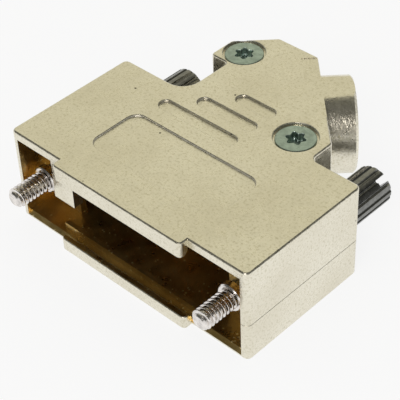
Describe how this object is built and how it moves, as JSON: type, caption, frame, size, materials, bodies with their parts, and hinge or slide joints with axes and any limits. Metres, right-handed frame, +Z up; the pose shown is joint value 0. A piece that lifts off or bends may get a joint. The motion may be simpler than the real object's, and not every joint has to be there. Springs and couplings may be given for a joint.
{
  "type": "d-sub hood",
  "caption": "Die-cast metal hood for a D-sub connector: two half shells with an angled round cable exit, captive jackscrews, cover screws and an inner cable clamp.",
  "frame": {"origin": "midway between the two jackscrew axes, in the plane of the front face", "axes": "+X along the connector, +Y from the connector towards the rear of the hood, +Z up through the face with the cover screws"},
  "size_m": [0.0414, 0.0454, 0.0144],
  "materials": {
    "shell": "satin nickel plate on a sand-textured zinc die casting",
    "zinc": "blue-passivated zinc plate",
    "jackscrew": "nickel-plated turned steel",
    "nickel": "bright nickel plate"
  },
  "bodies": {
    "hood": {"upper_shell": "shell", "lower_shell": "shell", "cover_screw_left": "zinc", "cover_screw_right": "zinc", "cable_clamp": "zinc", "clamp_screw_left": "zinc", "clamp_screw_right": "zinc"},
    "left_ring": {"retaining_ring_left": "nickel"},
    "left_screw": {"jackscrew_left": "jackscrew"},
    "right_ring": {"retaining_ring_right": "nickel"},
    "right_screw": {"jackscrew_right": "jackscrew"}
  },
  "joints": [
    {"name": "left_slide", "type": "slide", "parent": "hood", "child": "left_ring", "axis": [0, 1, 0], "range_m": [0, 0.002]},
    {"name": "left_spin", "type": "hinge", "parent": "left_ring", "child": "left_screw", "pos_m": [-0.01665, 0, 0], "axis": [0, 1, 0], "continuous": true},
    {"name": "right_slide", "type": "slide", "parent": "hood", "child": "right_ring", "axis": [0, 1, 0], "range_m": [0, 0.002]},
    {"name": "right_spin", "type": "hinge", "parent": "right_ring", "child": "right_screw", "pos_m": [0.01665, 0, 0], "axis": [0, 1, 0], "continuous": true}
  ]
}
